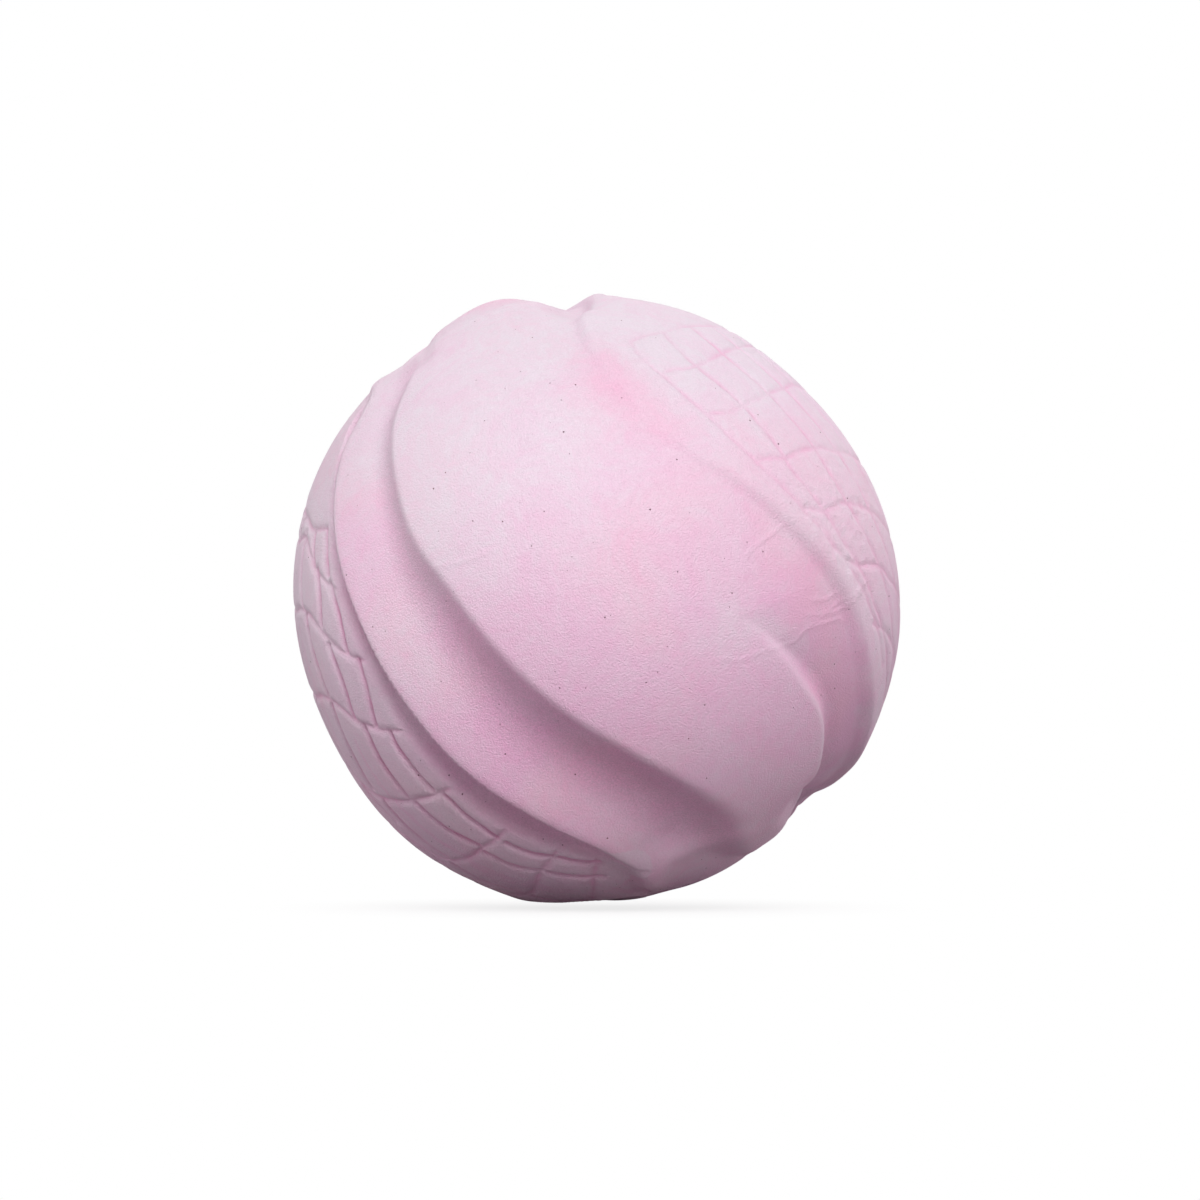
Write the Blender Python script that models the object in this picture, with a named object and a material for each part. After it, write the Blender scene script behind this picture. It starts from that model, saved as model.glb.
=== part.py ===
"""Dog toy ball of foam rubber: a sponge core inside a moulded skin of two halves.

Metres, +Z up. The ball stands as it does in the photograph: the front faces -Y and the axis
that the lobes twist about leans towards -X. Every piece is made about that axis, with the
ball's centre as the origin, and is then leaned over by one turn.
"""
import bpy
import bmesh
from bisect import bisect_right
from math import asin, atan2, cos, degrees, exp, pi, radians, sin
from mathutils import Vector
from mathutils.kdtree import KDTree

# Sizes of the ball.
CREST_RADIUS = 0.0332
SKIN_THICKNESS = 0.0062
FIT_GAP = 0.0003
STEP_DEPTH = 0.0024
AXIS_LEAN = 22.0

# Wall width beside a crest: a foot, and so much more for each metre that the step drops.
WALL_FOOT = 0.0005
WALL_STRAIGHT = 0.42

# A crest, from the upper pole down: latitude, longitude and share of STEP_DEPTH at each knot.
# Longitude 0 faces the front and grows towards the right.
NET_CREST = (
    (79, 150, 0.00), (75, 118, 0.45), (71, 90, 0.85), (66, 62, 0.85), (60, 36, 0.75),
    (50, 27, 0.58), (43, 24, 0.46), (35, 24, 0.38), (28, 26, 0.33), (15, 32, 0.33),
    (5, 39, 0.46), (-4, 45, 0.58), (-16, 52, 0.46), (-30, 59, 0.29), (-46, 70, 0.21),
    (-52, 84, 0.25), (-58, 102, 0.25), (-65, 122, 0.17), (-74, 150, 0.00),
)
BAND_CREST = (
    (69, -120, 0.00), (66, -84, 0.25), (61, -60, 0.42), (46, -57, 0.58), (31, -52, 0.67),
    (13, -48, 0.71), (-3, -45, 0.75), (-23, -40, 0.75), (-38, -33, 0.71), (-53, -26, 0.63),
    (-62, -25, 0.58), (-68, -30, 0.50), (-74, -48, 0.42), (-79, -95, 0.25), (-82, -130, 0.00),
)
SMOOTH_CREST = (
    (79, -110, 0.00), (71, -46, 0.25), (65, -36, 0.33), (49, -35, 0.46), (34, -32, 0.54),
    (15, -27, 0.79), (-4, -20, 0.96), (-17, -15, 1.00), (-29, -8, 1.00), (-42, 2, 0.96),
    (-55, 12, 0.79), (-62, 17, 0.42), (-68, 23, 0.63), (-75, 38, 0.38), (-81, 80, 0.00),
)
VALLEY_CREST = (
    (-8, 17, 0.00), (-15, 22, 0.13), (-21, 30, 0.25), (-32, 38, 0.50), (-41, 45, 0.67),
    (-52, 47, 0.83), (-58, 48, 0.90), (-64, 60, 0.88), (-69, 84, 0.60), (-74, 120, 0.00),
)
NET_RUN = 2.6
BAND_RUN = 1.2
SMOOTH_RUN = 2.4
VALLEY_RUN = 1.4

# Soft hollows and one low knob near the poles: latitude, longitude, radius and depth.
HOLLOWS = (
    (67, 80, 0.0070, 0.0007),
    (77, 92, 0.0036, 0.0007),
    (88, 90, 0.0030, -0.0005),
    (-80, 75, 0.0085, 0.0013),
)

# Steps of the mesh: columns that follow each lobe, with how they crowd towards its groove.
COLUMNS = 80
ROWS = 44
BOWL_ROWS = 24
CORE_COLUMNS = 44
CORE_ROWS = 22
LOBE_COLUMNS = (14, 8, 9, 9)
LOBE_CROWDING = (1.6, 1.3, 1.0, 1.3)
VALLEY_OFFSET = 30.0
GUIDE_TOP = 66.0
GUIDE_BOTTOM = -74.0


def direction(latitude, longitude):
    """Unit vector from the centre, in the ball's own frame."""
    a = radians(latitude)
    b = radians(longitude)
    return Vector((cos(a) * sin(b), -cos(a) * cos(b), sin(a)))


def between(table, x):
    """Value at x on straight lines through a table of (x, value), held level past its ends."""
    if x <= table[0][0]:
        return table[0][1]
    if x >= table[-1][0]:
        return table[-1][1]
    i = bisect_right([row[0] for row in table], x)
    x0, y0 = table[i - 1]
    x1, y1 = table[i]
    return y0 + (y1 - y0) * (x - x0) / (x1 - x0)


class Crest:
    """A crest line over the ball: its course, its step depth and its wall width."""

    def __init__(self, knots, run, half_turn):
        turn = 180 if half_turn else 0
        knot = [direction(k[0], k[1] + turn) for k in knots]
        knot = [2 * knot[0] - knot[1]] + knot + [2 * knot[-1] - knot[-2]]
        points = []
        for i in range(1, len(knot) - 2):
            p0, p1, p2, p3 = knot[i - 1:i + 3]
            for n in range(40):
                t = n / 40
                p = (2 * p1 + (p2 - p0) * t + (2 * p0 - 5 * p1 + 4 * p2 - p3) * t * t
                     + (3 * p1 - p0 - 3 * p2 + p3) * t ** 3)
                points.append(p.normalized())
        points.append(knot[-2])
        self.course = []
        last = knots[0][1] + turn
        for p in points:
            longitude = degrees(atan2(p.x, -p.y))
            longitude += 360 * round((last - longitude) / 360)
            last = longitude
            self.course.append((degrees(asin(p.z)), longitude))
        self.course.sort()
        # The hidden side's copy fades out before it reaches the poles.
        self.steps = []
        for latitude, longitude, share in reversed(knots):
            fade = min(max((76 - abs(latitude)) / 14, 0), 1) if half_turn else 1
            self.steps.append((latitude, STEP_DEPTH * share * fade))
        self.run = run
        self.tree = KDTree(len(points))
        for i, p in enumerate(points):
            self.tree.insert(p * CREST_RADIUS, i)
        self.tree.balance()

    def longitude(self, latitude):
        return between(self.course, latitude)

    def east_of(self, latitude, longitude):
        """Degrees that a point lies east of the crest at its own latitude."""
        return (longitude - self.longitude(latitude) + 180) % 360 - 180

    def distance(self, unit):
        return self.tree.find(unit * CREST_RADIUS)[2]


def wall_share(u):
    """Share of a step's drop, u wall widths from its crest: straight, then easing out."""
    slope = 2 / (1 + WALL_STRAIGHT)
    if u < WALL_STRAIGHT:
        return slope * max(u, 0)
    if u < 1:
        return 1 - slope * (1 - u) ** 2 / (2 * (1 - WALL_STRAIGHT))
    return 1


def step_drop(crest, near, far, latitude):
    """Drop on a crest's low side, near it by one distance and far from the next by another."""
    depth = between(crest.steps, latitude)
    width = min(WALL_FOOT + crest.run * depth, 0.7 * (near + far) + 1e-9)
    return depth * wall_share(near / width) * far / (near + far + 1e-9)


GROUPS = []
for half_turn in (False, True):
    GROUPS.append({
        "net": Crest(NET_CREST, NET_RUN, half_turn),
        "band": Crest(BAND_CREST, BAND_RUN, half_turn),
        "smooth": Crest(SMOOTH_CREST, SMOOTH_RUN, half_turn),
        "valley": Crest(VALLEY_CREST, VALLEY_RUN, half_turn),
    })

# The crests in the order met going east, each with the one before it.
AROUND = []
for near_group, far_group in ((GROUPS[0], GROUPS[1]), (GROUPS[1], GROUPS[0])):
    AROUND.append((near_group["band"], far_group["net"]))
    AROUND.append((near_group["smooth"], near_group["band"]))
    AROUND.append((near_group["net"], near_group["smooth"]))


def surface_radius(latitude, longitude):
    """Radius of the moulded surface: the crest radius less the drops of lobes and hollows."""
    unit = direction(latitude, longitude)
    drop = 0
    for crest, before in AROUND:
        if crest.east_of(latitude, longitude) <= 0 <= before.east_of(latitude, longitude):
            drop += step_drop(crest, crest.distance(unit), before.distance(unit), latitude)
    for group in GROUPS:
        valley = group["valley"]
        net = group["net"]
        if net.east_of(latitude, longitude) <= 0 <= valley.east_of(latitude, longitude):
            drop += step_drop(valley, valley.distance(unit), net.distance(unit), latitude)
    for lat, lon, radius, depth in HOLLOWS:
        away = (unit - direction(lat, lon)).length * CREST_RADIUS
        drop += depth * exp(-(away / radius) ** 2)
    return CREST_RADIUS - drop


def column_longitudes(latitude):
    """Longitudes of the mesh columns at a latitude, so that columns lie along every crest."""
    lat = min(max(latitude, GUIDE_BOTTOM), GUIDE_TOP)
    front = GROUPS[0]
    net = front["net"].longitude(lat)
    valley = net - VALLEY_OFFSET
    if lat < VALLEY_CREST[0][0]:
        valley = min(front["valley"].longitude(lat), net - 4)
    guides = [net - 180, front["band"].longitude(lat), front["smooth"].longitude(lat), valley, net]
    columns = []
    for turn in (0, 180):
        for i, count in enumerate(LOBE_COLUMNS):
            for n in range(count):
                share = 1 - (1 - n / count) ** LOBE_CROWDING[i]
                columns.append(guides[i] + (guides[i + 1] - guides[i]) * share + turn)
    return columns


def place(vert, longitudes, radius_at, count):
    """Move a sphere's vertex to its own column and to the radius of the surface."""
    latitude = degrees(asin(min(max(vert.co.z, -1), 1)))
    column = round(atan2(vert.co.y, vert.co.x) * count / (2 * pi)) % count
    longitude = longitudes(latitude)[column]
    vert.co = direction(latitude, longitude) * radius_at(latitude, longitude)


def keep_half(mesh, side):
    """Drop the faces of a sphere on the other side of its equator and return the rim."""
    away = [f for f in mesh.faces if f.calc_center_median().z * side < 0]
    bmesh.ops.delete(mesh, geom=away, context="FACES")
    return [e for e in mesh.edges if e.is_boundary]


def add_piece(name, mesh, material):
    data = bpy.data.meshes.new(name)
    mesh.to_mesh(data)
    mesh.free()
    data.materials.append(material)
    data.polygons.foreach_set("use_smooth", [True] * len(data.polygons))
    piece = bpy.data.objects.new(name, data)
    piece.rotation_euler = (0, radians(-AXIS_LEAN), 0)
    collection.objects.link(piece)
    return piece


def rubber(name, colour, roughness):
    material = bpy.data.materials.new(name)
    material.use_nodes = True
    shader = material.node_tree.nodes["Principled BSDF"]
    shader.inputs["Base Color"].default_value = (*colour, 1)
    shader.inputs["Roughness"].default_value = roughness
    return material


for item in list(bpy.data.objects):
    bpy.data.objects.remove(item, do_unlink=True)
collection = bpy.data.collections.new("dog_toy_ball")
bpy.context.scene.collection.children.link(collection)

# Sponge core: a plain ball that fills the hollow of the skin.
core_radius = CREST_RADIUS - SKIN_THICKNESS - FIT_GAP
core = bmesh.new()
bmesh.ops.create_uvsphere(core, u_segments=CORE_COLUMNS, v_segments=CORE_ROWS, radius=core_radius)
add_piece("foam_core", core, rubber("sponge_rubber", (0.78, 0.62, 0.70), 0.9))

# Each skin half: the moulded outside, a round bowl inside and a flat rim that joins them.
# The rims face each other across the fit gap, square to the axis of the twist.
bowl_radius = CREST_RADIUS - SKIN_THICKNESS
rim_columns = column_longitudes(0)
for name, side, colour in (
    ("upper_skin_half", 1, (0.80, 0.71, 0.79)),
    ("lower_skin_half", -1, (0.86, 0.60, 0.74)),
):
    skin = bmesh.new()
    bmesh.ops.create_uvsphere(skin, u_segments=COLUMNS, v_segments=ROWS, radius=1)
    keep_half(skin, side)
    for vert in skin.verts:
        place(vert, column_longitudes, surface_radius, COLUMNS)
    bowl = bmesh.new()
    bmesh.ops.create_uvsphere(bowl, u_segments=COLUMNS, v_segments=BOWL_ROWS, radius=1)
    keep_half(bowl, side)
    for vert in bowl.verts:
        place(vert, lambda latitude: rim_columns, lambda a, b: bowl_radius, COLUMNS)
    bmesh.ops.reverse_faces(bowl, faces=bowl.faces)
    inside = bpy.data.meshes.new("bowl")
    bowl.to_mesh(inside)
    bowl.free()
    skin.from_mesh(inside)
    bpy.data.meshes.remove(inside)
    rim = [e for e in skin.edges if e.is_boundary]
    for vert in {v for e in rim for v in e.verts}:
        vert.co.z = side * FIT_GAP / 2
    bmesh.ops.bridge_loops(skin, edges=rim)
    bmesh.ops.recalc_face_normals(skin, faces=skin.faces)
    add_piece(name, skin, rubber(name.replace("half", "rubber"), colour, 0.8))
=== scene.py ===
"""Dog toy ball of foam rubber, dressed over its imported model.

Metres, +Z up, the front faces -Y. The ball was pressed in a mould of two halves: a sponge core,
then a skin of two blanks of foam rubber, all joined by heat.
"""
from math import cos, pi, radians, sin

import bmesh
import bpy
from mathutils import Matrix, Vector


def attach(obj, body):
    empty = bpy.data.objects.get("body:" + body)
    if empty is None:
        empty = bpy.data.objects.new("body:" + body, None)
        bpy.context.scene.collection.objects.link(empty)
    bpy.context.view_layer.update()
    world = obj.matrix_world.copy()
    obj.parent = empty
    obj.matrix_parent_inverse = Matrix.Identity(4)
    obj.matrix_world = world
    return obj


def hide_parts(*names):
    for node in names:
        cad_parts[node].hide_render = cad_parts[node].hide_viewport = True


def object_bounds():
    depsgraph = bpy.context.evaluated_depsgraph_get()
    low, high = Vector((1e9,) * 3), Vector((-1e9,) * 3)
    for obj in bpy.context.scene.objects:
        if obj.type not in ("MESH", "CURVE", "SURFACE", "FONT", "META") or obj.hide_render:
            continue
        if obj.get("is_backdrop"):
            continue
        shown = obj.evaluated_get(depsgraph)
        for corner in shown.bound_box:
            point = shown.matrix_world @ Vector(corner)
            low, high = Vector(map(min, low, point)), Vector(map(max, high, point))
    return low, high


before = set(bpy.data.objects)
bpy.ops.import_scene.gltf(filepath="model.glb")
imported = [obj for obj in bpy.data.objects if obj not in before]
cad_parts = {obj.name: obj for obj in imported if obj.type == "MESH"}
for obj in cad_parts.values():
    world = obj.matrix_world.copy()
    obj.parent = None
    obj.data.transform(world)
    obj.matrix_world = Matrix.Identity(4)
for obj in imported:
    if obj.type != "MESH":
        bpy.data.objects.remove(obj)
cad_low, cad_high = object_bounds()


# Foam core: a ball of sponge rubber that fills the skin. It is foamed in a plain round mould,
# so its cells stay open, and the two skin blanks are pressed and cured around it.
CORE_RADIUS = 0.0266
CORE_SPLITS = 6
CORE_CELL = 0.0009
CORE_CELL_DEPTH = 0.00012
CORE_COLOUR = "#DFB9CB"
# Painted shade in the hollows of the core's cells.
CORE_CELL_SHADE = "#B98AA3"
CORE_ROUGHNESS = 0.95


def add(tree, kind, inputs=None, **settings):
    """Add a node with its settings, its values and the links into it."""
    node = tree.nodes.new(kind)
    for key, value in settings.items():
        setattr(node, key, value)
    for key, value in (inputs or {}).items():
        if isinstance(value, bpy.types.Node):
            value = value.outputs[0]
        if isinstance(value, bpy.types.NodeSocket):
            tree.links.new(value, node.inputs[key])
        else:
            node.inputs[key].default_value = value
    return node


def dye(hex_text):
    """Linear colour of an sRGB hex value."""
    channels = [int(hex_text[i:i + 2], 16) / 255 for i in (1, 3, 5)]
    return [c / 12.92 if c <= 0.04045 else ((c + 0.055) / 1.055) ** 2.4 for c in channels] + [1]


def new_tree(name, inputs, outputs):
    """An empty geometry tree with named sockets: (name, socket type) in and out."""
    tree = bpy.data.node_groups.new(name, "GeometryNodeTree")
    for socket, kind in inputs:
        tree.interface.new_socket(socket, in_out="INPUT", socket_type="NodeSocket" + kind)
    for socket, kind in outputs:
        tree.interface.new_socket(socket, in_out="OUTPUT", socket_type="NodeSocket" + kind)
    return tree, tree.nodes.new("NodeGroupInput"), tree.nodes.new("NodeGroupOutput")


def grow(name, tree, values):
    """Plain mesh that a geometry tree makes with these values for its named inputs."""
    holder = bpy.data.objects.new(name, bpy.data.meshes.new(name))
    bpy.context.scene.collection.objects.link(holder)
    modifier = holder.modifiers.new(name, "NODES")
    modifier.node_group = tree
    for item in tree.interface.items_tree:
        if item.in_out == "INPUT" and item.name in values:
            modifier[item.identifier] = values[item.name]
    ready = holder.evaluated_get(bpy.context.evaluated_depsgraph_get())
    mesh = bpy.data.meshes.new_from_object(ready)
    bpy.data.objects.remove(holder)
    return mesh


def dress(name, mesh, node):
    """Put a finished mesh in the scene in place of a CAD node, as a full foam piece."""
    piece = bpy.data.objects.new(name, mesh)
    bpy.context.scene.collection.objects.link(piece)
    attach(piece, "root")
    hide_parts(node)
    return piece


# Sponge rubber, foamed with open cells: dull, with painted shade in its small round cells.
sponge = bpy.data.materials.new("sponge_rubber")
sponge.use_nodes = True
shader = sponge.node_tree.nodes["Principled BSDF"]
place = add(sponge.node_tree, "ShaderNodeTexCoord")
cells = add(sponge.node_tree, "ShaderNodeTexVoronoi",
            {"Vector": place.outputs["Object"], "Scale": 1 / CORE_CELL})
shade = add(sponge.node_tree, "ShaderNodeMapRange",
            {0: cells.outputs["Distance"], 1: 0.0, 2: 0.6, 3: 0.72, 4: 1.0})
tint = add(sponge.node_tree, "ShaderNodeMix",
           {0: shade, 6: dye(CORE_CELL_SHADE), 7: dye(CORE_COLOUR)}, data_type="RGBA")
sponge.node_tree.links.new(tint.outputs[2], shader.inputs["Base Color"])
shader.inputs["Roughness"].default_value = CORE_ROUGHNESS

tree, group_in, group_out = new_tree(
    "sponge_ball",
    (("Radius", "Float"), ("Splits", "Int"), ("Cell", "Float"), ("Cell depth", "Float"),
     ("Rubber", "Material")),
    (("Geometry", "Geometry"),))
ball = add(tree, "GeometryNodeMeshIcoSphere", {"Radius": group_in.outputs["Radius"],
                                               "Subdivisions": group_in.outputs["Splits"]})
per_metre = add(tree, "ShaderNodeMath", {0: 1.0, 1: group_in.outputs["Cell"]}, operation="DIVIDE")
cells = add(tree, "ShaderNodeTexVoronoi", {"Scale": per_metre})
hollow = add(tree, "ShaderNodeMapRange",
             {0: cells.outputs["Distance"], 1: 0.0, 2: 0.5, 3: -1.0, 4: 0.0})
inward = add(tree, "ShaderNodeMath", {0: hollow, 1: group_in.outputs["Cell depth"]},
             operation="MULTIPLY")
push = add(tree, "ShaderNodeVectorMath",
           {0: add(tree, "GeometryNodeInputNormal"), "Scale": inward}, operation="SCALE")
ball = add(tree, "GeometryNodeSetPosition", {"Geometry": ball, "Offset": push})
ball = add(tree, "GeometryNodeSetShadeSmooth", {"Geometry": ball})
ball = add(tree, "GeometryNodeRealizeInstances", {"Geometry": ball})
ball = add(tree, "GeometryNodeSetMaterial",
           {"Geometry": ball, "Material": group_in.outputs["Rubber"]})
tree.links.new(ball.outputs[0], group_out.inputs[0])
dress("sponge_core",
      grow("sponge_core", tree, {"Radius": CORE_RADIUS, "Splits": CORE_SPLITS,
                                 "Cell": CORE_CELL, "Cell depth": CORE_CELL_DEPTH,
                                 "Rubber": sponge}),
      "foam_core")


# Moulded skin, upper and lower half: closed-cell foam rubber, pressed to lobes that twist from
# pole to pole. Each lobe is highest at its west crest and slopes down to the foot of the next
# crest. Half of the wide lobes carry a pressed net of bricks, the others are smooth.
AXIS_LEAN = 22.0
CREST_RADIUS = 0.0332
BOWL_RADIUS = 0.0270
BOWL_SEGMENTS = 120
JOINT_GAP = 0.0003
CUTS = 230
# A crest's wall drops by a share of STEP_DEPTH. It is straight over the first part of its width,
# eases out to its foot and takes no more than WALL_LIMIT of the way to the crest behind. The
# wall's painted shade, a deeper pink, sets in a little below the crest and is full where the wall
# is deep.
STEP_DEPTH = 0.0032
WALL_FOOT = 0.0005
WALL_STRAIGHT = 0.30
WALL_LIMIT = 0.7
WALL_SHADE_START = 0.0008
WALL_SHADE_DEPTH = 0.0030
# A crest carries a painted highlight, paler than the rubber beside it, out to this distance.
CREST_HIGHLIGHT_REACH = 0.0010
# Points along a crest, and steps from one knot of a drawn line to the next.
CREST_POINTS = 400
LINE_STEPS = 12
# Crests from the upper pole down: latitude, longitude, share of STEP_DEPTH and, in mm, how far
# the edge is rounded. Before them stand the wall's width per depth of the step and how strong the
# crest's painted highlight is.
CRESTS = {
    "net": (1.2, 0.9, (
        (76, 150, 0.00, 0.8), (73, 118, 0.25, 0.8), (69, 90, 0.32, 0.8), (65, 60, 0.34, 0.8),
        (59, 38, 0.32, 0.9), (50, 28, 0.26, 1.2), (43, 25, 0.19, 1.5), (35, 25, 0.15, 1.6),
        (26, 26, 0.14, 1.6), (17, 30, 0.15, 1.6), (9, 36, 0.18, 1.5), (0, 42, 0.24, 1.3),
        (-11, 49, 0.28, 1.1), (-20, 54, 0.30, 1.0), (-30, 59, 0.30, 0.9), (-42, 68, 0.28, 1.0),
        (-52, 81, 0.25, 1.2), (-58, 102, 0.25, 1.2), (-65, 122, 0.16, 1.2),
        (-74, 150, 0.00, 1.2))),
    "band": (1.1, 0.3, (
        (69, -120, 0.00, 1.2), (66, -84, 0.20, 1.2), (61, -60, 0.32, 1.2), (46, -57, 0.42, 1.2),
        (31, -53, 0.50, 1.2), (13, -47.5, 0.54, 1.3), (-3, -43.5, 0.58, 1.4),
        (-23, -38, 0.62, 1.5), (-38, -31, 0.64, 1.6), (-53, -24, 0.62, 1.6),
        (-62, -24, 0.52, 1.6), (-68, -30, 0.44, 1.6), (-74, -48, 0.34, 1.5),
        (-79, -95, 0.19, 1.5), (-82, -130, 0.00, 1.5))),
    "smooth": (1.8, 0.1, (
        (79, -110, 0.00, 0.6), (71, -46, 0.31, 0.6), (65, -36, 0.52, 0.6), (49, -35, 0.55, 0.6),
        (34, -32, 0.60, 0.6), (22, -29, 0.75, 0.7), (13, -25, 0.98, 0.8), (-4, -19, 1.30, 0.9),
        (-17, -13, 1.50, 1.0), (-29, -5, 1.60, 1.1), (-42, 5, 1.60, 1.4), (-55, 15, 1.45, 2.2),
        (-62, 19, 0.95, 2.2), (-68, 23, 0.65, 1.4), (-75, 38, 0.31, 1.2),
        (-81, 80, 0.00, 1.2))),
    "valley": (1.4, 1.0, (
        (-13, 25, 0.00, 1.2), (-20, 30, 0.14, 0.9), (-25, 33.5, 0.34, 0.8), (-30, 37, 0.52, 0.8),
        (-40, 44.5, 0.76, 0.8), (-51, 49, 0.95, 0.8), (-57, 51, 1.05, 0.8), (-63, 61, 0.88, 0.9),
        (-69, 84, 0.56, 0.9), (-74, 120, 0.00, 0.9))),
}
# No edge is rounded by more than this.
ROUND_LIMIT = 0.004
DEEPEST = max(knot[2] for run, highlight_strength, knots in CRESTS.values() for knot in knots)
# Soft hollows, and low swells where the depth is below zero: latitude, longitude, radius, depth.
HOLLOWS = (
    (88, 90, 0.0042, -0.0005), (62, 90, 0.0070, 0.0003), (24, 90, 0.0140, 0.0005),
    (-32, 90, 0.0110, -0.0003), (74, -90, 0.0060, 0.0004), (-3, -90, 0.0120, 0.0006),
    (-33, -90, 0.0100, -0.0002), (-76, 80, 0.0080, 0.0012), (-79, -118, 0.0080, 0.0016),
)
# Valleys that run out between the lobes by the poles: width, depth and course.
VALLEYS = (
    (0.0034, 0.0016, ((66, 51), (71, 63), (74.5, 77), (75.5, 92), (74.5, 108), (71, 126))),
    (0.0015, 0.0007, ((80, -112), (78, -90), (76, -62), (71, -43), (66, -36))),
    (0.0026, 0.0013, ((-60, 50), (-65, 67), (-67, 90), (-65, 112))),
)
# The pressed net on a netted lobe, from its west crest to its east edge: long lines, then the
# joints across them.
NET_LINES = (
    ((46, 37), (40, 35), (25, 37), (12, 41), (0, 47), (-12, 54), (-22, 61), (-33, 68)),
    ((46, 49), (40, 47), (34, 46), (18, 48), (7, 49), (-6, 54), (-20, 62), (-32, 71), (-41, 79)),
    ((45, 62), (38, 59), (32, 58), (10, 59), (-2, 61), (-18, 69), (-32, 77), (-44, 87)),
    ((43, 73), (36, 69), (23, 67), (8, 68), (-6, 71), (-18, 77), (-32, 84), (-46, 93)),
    ((41, 83), (34, 78), (20, 76), (0, 78), (-16, 84), (-32, 91), (-47, 99)),
    ((39.5, 92), (32, 87), (18, 85), (0, 87), (-18, 92), (-38, 100)),
    ((37.5, 99), (30, 96), (16, 94), (0, 96), (-15, 98), (-26, 102)),
    # By the east edge each course of bricks jogs east of the one above.
    ((34, 105), (28, 104), (20, 105)), ((18, 107), (10, 108), (2, 109)),
    ((0, 109), (-9, 107), (-18, 105)), ((-21, 106), (-29, 106), (-37, 107)),
    ((-39, 105), (-47, 105), (-53, 108)), ((-55, 108), (-60, 113), (-64, 122)),
    ((33, 112), (30, 112), (27, 113)), ((26, 115), (20, 116), (15, 115)),
    ((11, 117), (3, 118), (-4, 117)), ((-6, 119), (-14, 118), (-22, 118)),
    ((-24, 119), (-31, 120), (-38, 124)), ((-40, 123), (-45, 125), (-50, 130)),
    ((-51, 131), (-55, 135), (-59, 142)),
    ((33, 118), (29, 119), (24, 120)), ((22, 121), (15, 123), (8, 123)),
    ((6, 126), (-1, 125), (-7, 123)), ((-9, 126), (-16, 126), (-23, 127)),
    ((-25, 129), (-32, 130), (-38, 131)), ((-40, 132), (-44, 134), (-48, 138)),
    ((-49, 139), (-52, 142), (-55, 147)),
)
NET_JOINTS = (
    ((46, 37), (46, 50), (45, 64), (43, 78), (40, 91), (36, 105), (34, 112), (33, 118)),
    ((36, 36), (35, 46), (36, 57), (36, 67), (36, 80), (33, 94), (33, 105), (27, 113),
     (22, 120), (20, 125)),
    ((24, 38), (23, 46), (24, 57), (24, 66), (24, 78), (20, 92), (19, 106), (13, 116),
     (7, 124), (5, 129)),
    ((12, 42), (11, 49), (11, 58), (8, 70), (6, 80), (3, 94), (1, 109), (-5, 118),
     (-8, 124), (-10, 130)),
    ((1, 47), (-1, 52), (-1, 60), (-4, 70), (-8, 80), (-13, 93), (-20, 105), (-23, 118),
     (-24, 128), (-24, 133)),
    ((-11, 54), (-13, 59), (-14, 66), (-18, 74), (-23, 86), (-30, 97), (-38, 106),
     (-39, 123), (-38, 131), (-37, 136)),
    ((-24, 61), (-27, 69), (-31, 77), (-36, 87), (-42, 96), (-48, 105), (-55, 110)),
    ((-42, 84), (-46, 92), (-52, 101), (-54, 110), (-50, 130), (-48, 138), (-47, 141)),
    ((-64, 122), (-58, 140), (-54, 147), (-52, 149)),
)
# The net ends at a plain strip along the foot of the east crest's wall. Its bricks are bars with
# round backs there, and they sink into the lobe towards the west crest.
NET_EDGE = ((41, 118), (31, 122), (19, 125), (5, 129), (-8, 130), (-17, 132), (-30, 134),
            (-37, 137), (-46, 142), (-52, 148), (-57, 155))
# Over these shares of the way across a lobe the net grows from faint to strong, and its joints
# from as deep as the long lines to a share of that.
NET_ACROSS = (0.25, 0.75)
NET_FAINT = 0.36
NET_STRONG = 1.0
JOINT_SHARE = 0.50
NET_WOBBLE = 0.0004
NET_WOBBLE_SIZE = 0.004
GROOVE_WIDTH = 0.00028
GROOVE_DEPTH = 0.00010
GROOVE_STOP = (0.0003, 0.0010)
BRICK_ROUND = 0.0010
BRICK_DEPTH = 0.00046
BRICK_POWER = 1.9
BRICK_BACK_REACH = 0.0030
STRIP_DEPTH = 0.00030
STRIP_SLOPE = 0.0009
STRIP_SHADE = 0.6
# Crumples: where they are, how far they reach as shares of the ball's radius, how far from the
# crest they start, and their size and depth.
CRUMPLE_PLACE = (-4, 54)
CRUMPLE_REACH = (0.12, 0.42)
CRUMPLE_START = 0.0015
CRUMPLE_SIZE = 0.0013
CRUMPLE_DEPTH = 0.00013
# Latitudes between which a form fades out towards the poles.
BACK_CREST_FADE = (62, 76)
STRIP_FADE = (52, 62)
NET_FADE = (42, 53)
# Fold lines where rubber met rubber in the mould, as thin raised lines.
FOLDS = (
    ((16, -27), (16, -24), (15, -19), (15, -14)),
    ((-6.6, 28), (-3.5, 30), (-1.9, 34), (-1.5, 38), (-0.4, 41)),
    ((-21.1, 30), (-21.9, 33.5), (-22.1, 37), (-20.4, 40), (-21, 45), (-21, 49), (-22, 52)),
    ((-17.5, 40), (-18.2, 43), (-19.3, 45), (-18.2, 49), (-17.5, 53), (-16.5, 57)),
    ((-18.9, 46), (-19.6, 49), (-18.9, 52), (-17.4, 56), (-15.7, 60)),
    ((-15.6, 43), (-16.4, 46), (-15.7, 50)),
    ((-19.4, 19), (-20.8, 23), (-21, 27), (-20.7, 29)),
)
FOLD_WIDTH = 0.00022
FOLD_HEIGHT = 0.00006
# A low ridge crosses the narrow band near the lower pole.
RIDGES = (((-66, -26), (-62, -13), (-62, -4), (-64, 5), (-63, 16)),)
RIDGE_WIDTH = 0.0020
RIDGE_HEIGHT = 0.00035


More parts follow.
